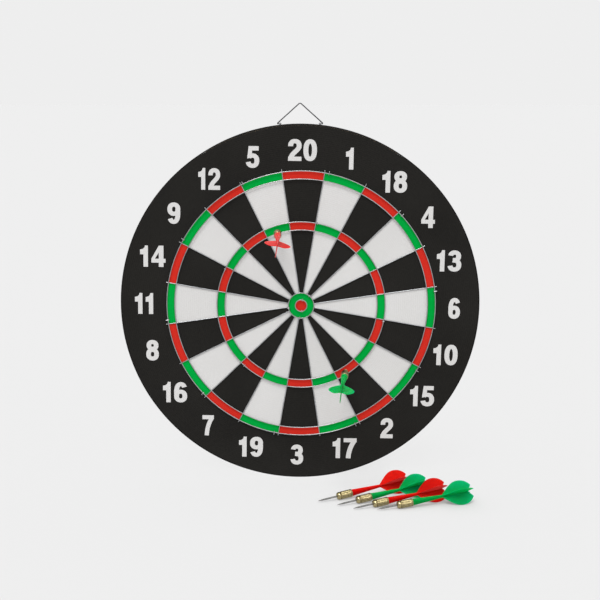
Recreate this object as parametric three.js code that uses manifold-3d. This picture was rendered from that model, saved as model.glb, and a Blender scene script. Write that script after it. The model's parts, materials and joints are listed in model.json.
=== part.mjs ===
// A wall dartboard of wound paper with a welded wire spider, a folding wire hanger and six steel-tip darts.
// Millimetres, +Z up, +X to the viewer's right. The origin is the centre of the back face, on the wall,
// and the playing face looks towards -Y. Two darts stick in the board and four lie in front of it.

import * as THREE from 'three';
import { mergeVertices } from 'three/addons/utils/BufferGeometryUtils.js';
import Module from 'manifold-3d';

const wasm = await Module();
wasm.setup();

// ---- Driving dimensions ----

const BOARD_RADIUS = 227.5;
const BOARD_THICKNESS = 22;
const SHEET_THICKNESS = 1; // printed face sheet and back sheet
const BAND_THICKNESS = 1.2; // band round the edge
const GAP = 0.3; // clearance between pieces that touch or pass through each other
const FACE_Y = -BOARD_THICKNESS;

const WIRE_RADIUS = 0.6; // spider wire
const WIRE_LIFT = 0.1; // clearance under and between the spider wires
const DOUBLE_OUTER = 170;
const DOUBLE_INNER = 160;
const TREBLE_OUTER = 106.5;
const TREBLE_INNER = 96.3;
const OUTER_BULL = 16.3;
const INNER_BULL = 7.4;
const SECTORS = 20;
const SECTOR_ANGLE = (2 * Math.PI) / SECTORS;
const RADIAL_START = OUTER_BULL - 1;
const RADIAL_END = DOUBLE_OUTER + 3.5;
const DIAL_TURN = THREE.MathUtils.degToRad(0.9); // the dial sits a little clockwise of upright
const DIAL_X = 1.3; // and a little to the right of the board's centre

const STAPLE_WIDTH = 1.2;
const STAPLE_WIRE = 0.9;
const STAPLE_SPAN = 5.4; // outside to outside of the two legs
const STAPLE_LEG = 8; // depth of the legs in the board
const STAPLE_TURN = THREE.MathUtils.degToRad(1.85); // from a radial wire to the staple beside it
const STAPLE_OUTWARD = 0.8; // the staple sits this far outside the middle of the ring's wire
const STAPLED_RADIALS = [0, 2, 4, 6, 8, 10, 12, 14, 16]; // clockwise from the wire right of the top sector

const HANGER_WIRE = 0.75; // radius
const HANGER_HALF_WIDTH = 29;
const HANGER_HEIGHT = 25.9; // pivot to the sharp top of the triangle
const HANGER_BEND = 2.2; // length taken by each rounded corner
const HANGER_FOOT = 5.8; // length of each foot that passes through its eyelet
const PIVOT_Y = -6;
const EYELET_X = 25;
const EYELET_RING = 1.7; // centreline radius of the eye
const EYELET_WIRE = 0.6; // radius
const EYELET_SHANK = 10;
const EYELET_SUNK = 1; // depth of the eye in the edge of the board
const PIVOT_Z = Math.sqrt(BOARD_RADIUS ** 2 - EYELET_X ** 2) + EYELET_RING + EYELET_WIRE - EYELET_SUNK;

const POINT_RADIUS = 1.1;
const POINT_EXPOSED = 25.5;
const POINT_TAPER = 9;
const POINT_SEATED = 9; // length of the point inside the barrel
const BARREL_RADIUS = 4.8;
const BARREL_LENGTH = 19.8;
const BARREL_NOSE = 3.2; // length of the rounded nose
const SHAFT_RADIUS = 4.1; // where the shaft meets the barrel
const NECK_RADIUS = 1.7; // where the flights begin
const SHAFT_LENGTH = 41;
const STUD_RADIUS = 2;
const STUD_LENGTH = 7;
const FIN_LENGTH = 40;
const FIN_HALF_SPAN = 15.6;
const FIN_WIDEST = 24; // distance from the front of the flights to their widest point
const FIN_NOTCH = 5.5; // depth of the V in the tail
const FIN_THICKNESS = 0.9;
const FIN_OVERLAP = 3; // the flights start this far ahead of the shaft's thin end
const BARREL_END = POINT_EXPOSED + BARREL_LENGTH;

const FLOOR_Z = -BOARD_RADIUS;
const FLOOR_GAP = 0.05;

// ---- Helpers ----

function solidOf(geometry) {
  const bare = geometry.clone();
  bare.deleteAttribute('normal');
  bare.deleteAttribute('uv');
  const merged = mergeVertices(bare, 1e-4);
  return new wasm.Manifold(
    new wasm.Mesh({
      numProp: 3,
      vertProperties: new Float32Array(merged.attributes.position.array),
      triVerts: new Uint32Array(merged.index.array),
    })
  );
}

function geometryOf(solid) {
  const mesh = solid.getMesh();
  const geometry = new THREE.BufferGeometry();
  geometry.setAttribute('position', new THREE.BufferAttribute(mesh.vertProperties, 3));
  geometry.setIndex(new THREE.BufferAttribute(mesh.triVerts, 1));
  geometry.computeVertexNormals();
  return geometry;
}

function material(color, roughness, metalness) {
  return new THREE.MeshStandardMaterial({ color, roughness, metalness });
}

const paint = {
  core: material(0x9a7a55, 0.9, 0),
  face: material(0x262422, 0.8, 0),
  back: material(0x8a6f4e, 0.9, 0),
  band: material(0x1b1a19, 0.7, 0),
  hanger: material(0x77787a, 0.35, 1),
  spider: material(0xc9ccd0, 0.25, 1),
  staple: material(0xb9bcc0, 0.3, 1),
  point: material(0x85868a, 0.35, 1),
  brass: material(0xc2a662, 0.3, 1),
  red: material(0xcf1a12, 0.4, 0),
  green: material(0x00a05a, 0.4, 0),
};

function part(name, geometry, look) {
  const mesh = new THREE.Mesh(geometry, look);
  mesh.name = name;
  return mesh;
}

function profile(pairs) {
  return pairs.map(([radius, height]) => new THREE.Vector2(radius, height));
}

// A plate with the outline "radius" round the Y axis, from back to front.
function disc(radius, back, front, segments = 72) {
  const outline = profile([[0, front], [radius, front], [radius, back], [0, back]]);
  return new THREE.LatheGeometry(outline, segments);
}

// A direction in the plane of the face, turned clockwise from straight up as seen by the player.
function onFace(angle, radius, y = 0) {
  return new THREE.Vector3(radius * Math.sin(angle), y, radius * Math.cos(angle));
}

// ---- Darts: local +Y runs from the tip to the tail ----

function pointGeometry() {
  const outline = profile([
    [0, 0],
    [0.35, 1.2],
    [POINT_RADIUS, POINT_TAPER],
    [POINT_RADIUS, POINT_EXPOSED + POINT_SEATED],
    [0, POINT_EXPOSED + POINT_SEATED],
  ]);
  return new THREE.LatheGeometry(outline, 10);
}

function barrelGeometry() {
  const front = POINT_EXPOSED;
  const outline = [
    [0, front + POINT_SEATED + GAP],
    [POINT_RADIUS + GAP, front + POINT_SEATED + GAP],
    [POINT_RADIUS + GAP, front],
    [2, front],
  ];
  for (const turn of [30, 60, 90]) {
    const angle = THREE.MathUtils.degToRad(turn);
    const radius = 2 + (BARREL_RADIUS - 2) * Math.sin(angle);
    outline.push([radius, front + BARREL_NOSE * (1 - Math.cos(angle))]);
  }
  outline.push([BARREL_RADIUS, BARREL_END - 0.6]);
  outline.push([BARREL_RADIUS - 0.6, BARREL_END]);
  outline.push([STUD_RADIUS + GAP, BARREL_END]);
  outline.push([STUD_RADIUS + GAP, BARREL_END - STUD_LENGTH - GAP]);
  outline.push([0, BARREL_END - STUD_LENGTH - GAP]);
  return new THREE.LatheGeometry(profile(outline), 16);
}

// One plate that carries two opposite fins: a teardrop with a V notch in its tail.
function finPlate() {
  const half = FIN_HALF_SPAN;
  const tail = FIN_LENGTH;
  const root = NECK_RADIUS * 0.6;
  const outline = new THREE.Shape();
  outline.moveTo(root, 0);
  outline.bezierCurveTo(half * 0.5, tail * 0.2, half, tail * 0.38, half, FIN_WIDEST);
  outline.bezierCurveTo(half, tail * 0.8, half * 0.78, tail * 0.92, half * 0.46, tail);
  outline.lineTo(0, tail - FIN_NOTCH);
  outline.lineTo(-half * 0.46, tail);
  outline.bezierCurveTo(-half * 0.78, tail * 0.92, -half, tail * 0.8, -half, FIN_WIDEST);
  outline.bezierCurveTo(-half, tail * 0.38, -half * 0.5, tail * 0.2, -root, 0);
  const plate = new THREE.ExtrudeGeometry(outline, {
    depth: FIN_THICKNESS,
    bevelEnabled: false,
    curveSegments: 7,
  });
  plate.translate(0, BARREL_END + SHAFT_LENGTH - FIN_OVERLAP, -FIN_THICKNESS / 2);
  return plate;
}

function flightGeometry() {
  const start = BARREL_END + GAP;
  const neck = BARREL_END + SHAFT_LENGTH;
  const outline = profile([
    [0, start - STUD_LENGTH],
    [STUD_RADIUS, start - STUD_LENGTH],
    [STUD_RADIUS, start],
    [SHAFT_RADIUS, start],
    [NECK_RADIUS, neck],
    [1, neck + FIN_LENGTH * 0.7],
    [0, neck + FIN_LENGTH * 0.7],
  ]);
  const shaft = solidOf(new THREE.LatheGeometry(outline, 12));
  const plate = finPlate();
  const crossed = plate.clone().rotateY(Math.PI / 2);
  return geometryOf(shaft.add(solidOf(plate)).add(solidOf(crossed)));
}

const dartShapes = {
  point: pointGeometry(),
  barrel: barrelGeometry(),
  flight: flightGeometry(),
};

// The dart turns about its own axis, then pitches tail up, then swings round to its heading.
function dart(name, plastic, tip, pitch, roll, heading) {
  const group = new THREE.Group();
  group.add(part(`${name}_point`, dartShapes.point, paint.point));
  group.add(part(`${name}_barrel`, dartShapes.barrel, paint.brass));
  group.add(part(`${name}_flight`, dartShapes.flight, plastic));
  group.rotation.set(pitch, roll, heading, 'ZXY');
  group.position.copy(tip);
  return group;
}

const degrees = THREE.MathUtils.degToRad;

// Stuck darts: where the point enters the face, how far the tail droops and leans, and its roll.
const STUCK_DEPTH = 15;
const STUCK_DARTS = [
  { name: 'stuck_dart_red', plastic: paint.red, x: -28.1, z: 94.3, droop: 2.8, lean: 1.1, roll: -10.3 },
  { name: 'stuck_dart_green', plastic: paint.green, x: 58.5, z: -85.3, droop: 1, lean: -5.3, roll: -5 },
];

function stuckDart({ name, plastic, x, z, droop, lean, roll }) {
  const outward = new THREE.Vector3(0, 1, 0).applyEuler(
    new THREE.Euler(degrees(-droop), 0, degrees(180 + lean), 'ZXY')
  );
  const tip = new THREE.Vector3(x, FACE_Y, z).addScaledVector(outward, -STUCK_DEPTH);
  return dart(name, plastic, tip, degrees(-droop), degrees(roll), degrees(180 + lean));
}

// Loose darts lean on one another: each rests on its barrel and on one low fin, with the tail high.
const LOOSE_ROLL = degrees(-38);
const LOOSE_PITCH = Math.atan2(
  (FIN_HALF_SPAN + FIN_THICKNESS / 2) * Math.cos(LOOSE_ROLL) - BARREL_RADIUS,
  BARREL_LENGTH - BARREL_NOSE + SHAFT_LENGTH - FIN_OVERLAP + FIN_WIDEST
);
const LOOSE_DARTS = [
  { name: 'loose_dart_1', plastic: paint.red, x: 22, y: -117.2, heading: 22 },
  { name: 'loose_dart_2', plastic: paint.green, x: 45, y: -130.5, heading: 21.4 },
  { name: 'loose_dart_3', plastic: paint.red, x: 64, y: -142.5, heading: 19 },
  { name: 'loose_dart_4', plastic: paint.green, x: 92.5, y: -145, heading: 15.5 },
];

function looseDart({ name, plastic, x, y, heading }) {
  const nose = POINT_EXPOSED + BARREL_NOSE;
  const height = BARREL_RADIUS * Math.cos(LOOSE_PITCH) - nose * Math.sin(LOOSE_PITCH) + FLOOR_GAP;
  const tip = new THREE.Vector3(x, y, FLOOR_Z + height);
  return dart(name, plastic, tip, LOOSE_PITCH, LOOSE_ROLL, degrees(heading - 90));
}

const darts = [...STUCK_DARTS.map(stuckDart), ...LOOSE_DARTS.map(looseDart)];

// ---- Spider ----

const RADIAL_Y = FACE_Y - WIRE_LIFT - WIRE_RADIUS;
const RING_Y = RADIAL_Y - 2 * WIRE_RADIUS - WIRE_LIFT;

function ringWire(name, radius, segments) {
  const wire = new THREE.TorusGeometry(radius, WIRE_RADIUS, 5, segments);
  wire.rotateX(Math.PI / 2);
  wire.translate(DIAL_X, RING_Y, 0);
  return part(name, wire, paint.spider);
}

function radialWire(index) {
  const length = RADIAL_END - RADIAL_START;
  const mesh = part(
    `radial_wire_${String(index + 1).padStart(2, '0')}`,
    new THREE.CylinderGeometry(WIRE_RADIUS, WIRE_RADIUS, length, 8),
    paint.spider
  );
  const angle = (index + 0.5) * SECTOR_ANGLE + DIAL_TURN;
  mesh.position.copy(onFace(angle, (RADIAL_START + RADIAL_END) / 2, RADIAL_Y));
  mesh.position.x += DIAL_X;
  mesh.rotation.set(Math.PI / 2, angle, 0, 'YXZ');
  return mesh;
}

function spider() {
  const group = new THREE.Group();
  group.add(ringWire('double_outer_ring', DOUBLE_OUTER, 64));
  group.add(ringWire('double_inner_ring', DOUBLE_INNER, 64));
  group.add(ringWire('treble_outer_ring', TREBLE_OUTER, 52));
  group.add(ringWire('treble_inner_ring', TREBLE_INNER, 52));
  group.add(ringWire('outer_bull_ring', OUTER_BULL, 28));
  group.add(ringWire('inner_bull_ring', INNER_BULL, 20));
  for (let index = 0; index < SECTORS; index += 1) {
    group.add(radialWire(index));
  }
  return group;
}

// ---- Staples that straddle the outer double ring ----

const STAPLE_FRONT = RING_Y - WIRE_RADIUS - WIRE_LIFT - STAPLE_WIRE;

// The U outline is drawn with the legs along +Y, into the board.
function stapleGeometry(clearance = 0) {
  const outside = STAPLE_SPAN / 2 + clearance;
  const inside = STAPLE_SPAN / 2 - STAPLE_WIRE - clearance;
  const front = STAPLE_FRONT - clearance;
  const under = STAPLE_FRONT + STAPLE_WIRE + clearance;
  const end = FACE_Y + STAPLE_LEG + clearance;
  const outline = new THREE.Shape();
  outline.moveTo(-outside, front);
  outline.lineTo(outside, front);
  outline.lineTo(outside, end);
  outline.lineTo(inside, end);
  outline.lineTo(inside, under);
  outline.lineTo(-inside, under);
  outline.lineTo(-inside, end);
  outline.lineTo(-outside, end);
  const width = STAPLE_WIDTH + 2 * clearance;
  const staple = new THREE.ExtrudeGeometry(outline, { depth: width, bevelEnabled: false });
  staple.translate(0, 0, -width / 2);
  staple.rotateY(-Math.PI / 2);
  return staple;
}

function placeStaple(geometry, radialIndex) {
  const angle = (radialIndex + 0.5) * SECTOR_ANGLE + DIAL_TURN + STAPLE_TURN;
  const centre = onFace(angle, DOUBLE_OUTER + STAPLE_OUTWARD);
  return geometry.rotateY(angle).translate(centre.x + DIAL_X, 0, centre.z);
}

function staples() {
  const group = new THREE.Group();
  STAPLED_RADIALS.forEach((radialIndex, index) => {
    const geometry = placeStaple(stapleGeometry(), radialIndex);
    group.add(part(`ring_staple_${index + 1}`, geometry, paint.staple));
  });
  return group;
}

// ---- Hanger and its eyelets ----

function eyeletGeometry(side, clearance = 0) {
  const eye = new THREE.TorusGeometry(EYELET_RING, EYELET_WIRE + clearance, 6, 14);
  eye.rotateY(Math.PI / 2);
  eye.translate(side * EYELET_X, PIVOT_Y, PIVOT_Z);
  const shank = new THREE.CylinderGeometry(EYELET_WIRE + clearance, EYELET_WIRE + clearance, EYELET_SHANK, 8);
  shank.rotateX(Math.PI / 2);
  shank.translate(side * EYELET_X, PIVOT_Y, PIVOT_Z - EYELET_RING - EYELET_SHANK / 2);
  return solidOf(eye).add(solidOf(shank));
}

// Half of the bent wire, from the end of the foot to the top; x is counted outwards from the middle.
function hangerCurve() {
  const foot = HANGER_HALF_WIDTH - HANGER_FOOT;
  const bend = HANGER_BEND;
  const corners = [
    new THREE.Vector2(-foot, 0),
    new THREE.Vector2(-HANGER_HALF_WIDTH, 0),
    new THREE.Vector2(0, HANGER_HEIGHT),
    new THREE.Vector2(HANGER_HALF_WIDTH, 0),
    new THREE.Vector2(foot, 0),
  ];
  const place = (corner) => new THREE.Vector3(corner.x, PIVOT_Y, PIVOT_Z + corner.y);
  const path = new THREE.CurvePath();
  let start = corners[0];
  for (let i = 1; i < corners.length - 1; i += 1) {
    const corner = corners[i];
    const reach = Math.min(bend, corner.distanceTo(start) / 2, corner.distanceTo(corners[i + 1]) / 2);
    const before = corner.clone().add(start.clone().sub(corner).setLength(reach));
    const after = corner.clone().add(corners[i + 1].clone().sub(corner).setLength(reach));
    path.add(new THREE.LineCurve3(place(start), place(before)));
    path.add(new THREE.QuadraticBezierCurve3(place(before), place(corner), place(after)));
    start = after;
  }
  path.add(new THREE.LineCurve3(place(start), place(corners[corners.length - 1])));
  return path;
}

function hangerWire() {
  const section = new THREE.Shape();
  section.absarc(0, 0, HANGER_WIRE, 0, 2 * Math.PI);
  const wire = new THREE.ExtrudeGeometry(section, {
    steps: 56,
    curveSegments: 3,
    bevelEnabled: false,
    extrudePath: hangerCurve(),
  });
  return part('hanger_wire', wire, paint.hanger);
}

// ---- Board ----

// Everything that is driven into the board, grown by the clearance: the hollow left for it.
function drivenIn() {
  let hollow = eyeletGeometry(-1, GAP).add(eyeletGeometry(1, GAP));
  for (const radialIndex of STAPLED_RADIALS) {
    hollow = hollow.add(solidOf(placeStaple(stapleGeometry(GAP), radialIndex)));
  }
  const pointRoom = POINT_RADIUS + GAP;
  for (const group of darts.slice(0, STUCK_DARTS.length)) {
    const room = new THREE.CylinderGeometry(pointRoom, pointRoom, 2 * STUCK_DEPTH + 2, 10);
    group.updateMatrixWorld(true);
    room.translate(0, STUCK_DEPTH, 0);
    hollow = hollow.add(solidOf(room.applyMatrix4(group.matrixWorld)));
  }
  return hollow;
}

function board() {
  const hollow = drivenIn();
  const cut = (geometry) => geometryOf(solidOf(geometry).subtract(hollow));
  const coreRadius = BOARD_RADIUS - BAND_THICKNESS - GAP;
  const coreFront = FACE_Y + SHEET_THICKNESS;
  const bandOutline = profile([
    [coreRadius + GAP, FACE_Y],
    [BOARD_RADIUS, FACE_Y],
    [BOARD_RADIUS, 0],
    [coreRadius + GAP, 0],
    [coreRadius + GAP, FACE_Y],
  ]);
  const group = new THREE.Group();
  group.add(part('board_core', cut(disc(coreRadius, -SHEET_THICKNESS, coreFront)), paint.core));
  group.add(part('face_sheet', cut(disc(coreRadius, coreFront, FACE_Y)), paint.face));
  group.add(part('back_sheet', disc(coreRadius, 0, -SHEET_THICKNESS), paint.back));
  group.add(part('edge_band', cut(new THREE.LatheGeometry(bandOutline, 72)), paint.band));
  return group;
}

const dartboard = new THREE.Group();
dartboard.add(board());
dartboard.add(spider());
dartboard.add(staples());
dartboard.add(part('hanger_eyelet_left', geometryOf(eyeletGeometry(-1)), paint.hanger));
dartboard.add(part('hanger_eyelet_right', geometryOf(eyeletGeometry(1)), paint.hanger));
dartboard.add(hangerWire());
dartboard.add(...darts);

export default dartboard;
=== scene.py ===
"""Looks for a wall dartboard of wound paper, with its wire spider, folding hanger and six steel-tip darts.

Metres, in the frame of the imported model: +Z is up and the playing face looks towards -Y.
"""

import bpy
import bmesh
import json
import math
import random
from mathutils import Matrix, Vector
from mathutils.geometry import delaunay_2d_cdt


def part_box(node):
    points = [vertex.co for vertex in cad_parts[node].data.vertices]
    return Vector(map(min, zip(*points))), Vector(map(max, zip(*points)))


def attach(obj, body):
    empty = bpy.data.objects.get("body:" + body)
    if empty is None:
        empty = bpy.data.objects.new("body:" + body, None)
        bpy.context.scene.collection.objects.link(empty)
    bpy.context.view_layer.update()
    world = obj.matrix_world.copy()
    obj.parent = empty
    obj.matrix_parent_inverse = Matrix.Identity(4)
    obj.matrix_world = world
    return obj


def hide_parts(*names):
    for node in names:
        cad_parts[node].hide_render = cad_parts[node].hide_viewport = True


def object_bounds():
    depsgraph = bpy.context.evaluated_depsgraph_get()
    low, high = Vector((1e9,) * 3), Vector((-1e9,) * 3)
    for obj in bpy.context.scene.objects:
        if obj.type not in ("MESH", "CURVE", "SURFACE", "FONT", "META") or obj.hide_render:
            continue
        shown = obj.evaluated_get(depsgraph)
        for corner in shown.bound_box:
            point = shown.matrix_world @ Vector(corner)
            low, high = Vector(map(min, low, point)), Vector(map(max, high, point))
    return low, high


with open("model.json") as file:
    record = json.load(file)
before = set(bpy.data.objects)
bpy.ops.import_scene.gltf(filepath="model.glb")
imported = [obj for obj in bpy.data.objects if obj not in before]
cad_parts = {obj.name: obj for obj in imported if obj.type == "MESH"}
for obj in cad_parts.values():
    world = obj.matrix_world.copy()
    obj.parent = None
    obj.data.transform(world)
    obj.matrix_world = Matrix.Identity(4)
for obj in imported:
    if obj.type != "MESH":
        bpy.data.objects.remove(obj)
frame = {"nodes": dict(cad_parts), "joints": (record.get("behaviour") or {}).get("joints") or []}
cad_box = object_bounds()
random.seed(20)

MM = 0.001

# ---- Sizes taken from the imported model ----


def middle(node):
    low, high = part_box(node)
    return (low + high) / 2


def half_size(node, axis=0):
    low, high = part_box(node)
    return (high[axis] - low[axis]) / 2


def from_dial(spot):
    """The angle clockwise from straight up, and the distance, of a spot seen from the middle of the dial."""
    across = spot.x - DIAL_X
    return math.atan2(across, spot.z), math.hypot(across, spot.z)


def reach(node):
    """Nearest and farthest distance of a node from the middle of the dial."""
    distances = [from_dial(vertex.co)[1] for vertex in frame["nodes"][node].data.vertices]
    return min(distances), max(distances)


BAND_RADIUS = half_size("edge_band")
SHEET_RADIUS = half_size("face_sheet")
FACE_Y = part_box("face_sheet")[0].y
SHEET_BACK_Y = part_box("face_sheet")[1].y
FLOOR_Z = cad_box[0].z

SECTORS = 20
SECTOR = 2 * math.pi / SECTORS
RING_NODES = (
    "double_outer_ring",
    "double_inner_ring",
    "treble_outer_ring",
    "treble_inner_ring",
    "outer_bull_ring",
    "inner_bull_ring",
)
WIRE_RADIUS = half_size("radial_wire_01", axis=1)
RINGS = {node: half_size(node) - WIRE_RADIUS for node in RING_NODES}
DOUBLE_OUTER, DOUBLE_INNER, TREBLE_OUTER, TREBLE_INNER, OUTER_BULL, INNER_BULL = RINGS.values()
RING_Y = middle("double_outer_ring").y
RADIAL_Y = middle("radial_wire_01").y
DIAL_X = middle("double_outer_ring").x
DIAL_TURN = from_dial(middle("radial_wire_01"))[0] - SECTOR / 2

PRINT_THICKNESS = 0.06 * MM

# ---- Mesh helpers ----


def turns(count):
    return [2 * math.pi * index / count for index in range(count)]


def on_face(angle, radius, y=0.0):
    """A point at an angle clockwise from straight up, as the player sees the board."""
    return Vector((radius * math.sin(angle), y, radius * math.cos(angle)))


def on_dial(angle, radius, y=0.0):
    """The same, but measured from the middle of the dial."""
    return on_face(angle, radius, y) + Vector((DIAL_X, 0, 0))


def skin(bm, rings, wrap=False):
    """Joins rings of points into a closed surface, capped at both ends unless it wraps round."""
    loops = [[bm.verts.new(point) for point in ring] for ring in rings]
    following = loops[1:] + loops[:1] if wrap else loops[1:]
    for near, far in zip(loops, following):
        for index in range(len(near)):
            bm.faces.new((near[index - 1], near[index], far[index], far[index - 1]))
    if not wrap:
        bm.faces.new(loops[0])
        bm.faces.new(loops[-1])


def wire(bm, path, across, radii, sides, closed=False):
    """A round wire along a flat path; across is at right angles to the plane of the path."""
    rings = []
    for index, point in enumerate(path):
        before = path[index - 1] if closed else path[max(index - 1, 0)]
        after = path[(index + 1) % len(path)] if closed else path[min(index + 1, len(path) - 1)]
        aside = across.cross(after - before).normalized()
        radius = radii[index] if isinstance(radii, list) else radii
        rings.append([point + radius * (math.cos(a) * across + math.sin(a) * aside) for a in turns(sides)])
    skin(bm, rings, wrap=closed)


def with_round_ends(path, radius):
    """Adds points and radii that round off both ends of a wire."""
    points = list(path)
    radii = [radius] * len(points)
    for end, neighbour in ((0, 1), (-1, -2)):
        outward = (path[end] - path[neighbour]).normalized()
        centre = path[end] - outward * radius
        steps = [math.radians(turn) for turn in (20, 45, 70, 84)]
        cap = [(centre + outward * radius * math.sin(turn), radius * math.cos(turn)) for turn in steps]
        if end == 0:
            points[:1] = [point for point, _ in reversed(cap)] + [centre]
            radii[:1] = [size for _, size in reversed(cap)] + [radius]
        else:
            points[-1:] = [centre] + [point for point, _ in cap]
            radii[-1:] = [radius] + [size for _, size in cap]
    return points, radii


def rounded_path(corners, bend, steps=7):
    """A path through the corners with each inner one rounded over the length bend."""
    path = [corners[0]]
    for before, corner, after in zip(corners, corners[1:], corners[2:]):
        length = min(bend, (corner - before).length / 2, (after - corner).length / 2)
        start = corner + (before - corner).normalized() * length
        end = corner + (after - corner).normalized() * length
        for step in range(steps + 1):
            t = step / steps
            path.append(start * (1 - t) ** 2 + corner * 2 * t * (1 - t) + end * t**2)
    path.append(corners[-1])
    return path


def revolved(bm, section, segments):
    """A ring-shaped solid: a closed (radius, depth) section carried round the board's axis."""
    skin(bm, [[on_face(a, radius, depth) for radius, depth in section] for a in turns(segments)], wrap=True)


def turned(bm, profile, segments, relief=None):
    """A turned solid round Y. profile lists (radius, height) from one end of the axis to the other.

    relief(row, column) says how far that point is pressed in; pressed points are joined by the creases.
    """
    loops = []
    pressed = set()
    for row, (radius, height) in enumerate(profile[1:-1]):
        loop = []
        for column, angle in enumerate(turns(segments)):
            depth = relief(row, column) if relief else 0
            size = radius - depth
            vertex = bm.verts.new((size * math.cos(angle), height, size * math.sin(angle)))
            if depth:
                pressed.add(vertex)
            loop.append(vertex)
        loops.append(loop)
    for near, far in zip(loops, loops[1:]):
        for column in range(segments):
            a, b, c, d = near[column - 1], near[column], far[column], far[column - 1]
            if a in pressed and c in pressed:
                bm.faces.new((a, b, c))
                bm.faces.new((a, c, d))
            elif b in pressed and d in pressed:
                bm.faces.new((b, c, d))
                bm.faces.new((b, d, a))
            else:
                bm.faces.new((a, b, c, d))
    for loop, (_, height) in ((loops[0], profile[0]), (loops[-1], profile[-1])):
        pole = bm.verts.new((0, height, 0))
        for column in range(segments):
            bm.faces.new((loop[column - 1], loop[column], pole))


def slab(bm, points, faces, back, front):
    """A closed plate: flat faces at two depths and walls round their outline. points are (x, z)."""
    used = sorted({index for face in faces for index in face})
    far = {index: bm.verts.new((points[index][0], back, points[index][1])) for index in used}
    near = {index: bm.verts.new((points[index][0], front, points[index][1])) for index in used}
    edges = {(face[i - 1], face[i]) for face in faces for i in range(len(face))}
    for face in faces:
        bm.faces.new([near[index] for index in face])
        bm.faces.new([far[index] for index in reversed(face)])
    for start, end in edges:
        if (end, start) not in edges:
            bm.faces.new((near[end], near[start], far[start], far[end]))


def to_mesh(name, bm, sharp=35):
    bmesh.ops.recalc_face_normals(bm, faces=bm.faces)
    mesh = bpy.data.meshes.new(name)
    bm.to_mesh(mesh)
    bm.free()
    mesh.shade_smooth()
    mesh.set_sharp_from_angle(angle=math.radians(sharp))
    return mesh


def place(name, mesh, matrix=None):
    piece = bpy.data.objects.new(name, mesh)
    bpy.context.scene.collection.objects.link(piece)
    if matrix is not None:
        piece.matrix_world = matrix
    return piece


def combined(mesh, others, operation):
    """The mesh joined with, or cut by, each of the others in turn."""
    base = place("base", mesh)
    tools = [place("tool", other) for other in others]
    for tool in tools:
        step = base.modifiers.new("step", "BOOLEAN")
        step.operation = operation
        step.solver = "EXACT"
        step.object = tool
    graph = bpy.context.evaluated_depsgraph_get()
    result = bpy.data.meshes.new_from_object(base.evaluated_get(graph))
    for item in [base, *tools]:
        bpy.data.objects.remove(item)
    result.shade_smooth()
    result.set_sharp_from_angle(angle=math.radians(35))
    return result


def dress(piece, look, slot, body, *nodes):
    """Gives a piece its material, the body it rides on and the nodes it stands for, which it hides; slot is
    not used.
    """
    piece.data.materials.clear()
    piece.data.materials.append(look)
    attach(piece, body)
    if nodes:
        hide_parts(*nodes)
    return piece


# ---- Material helpers ----

WAVE_RATE = 20  # radians that a wave texture of scale 1 runs through in one unit


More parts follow.
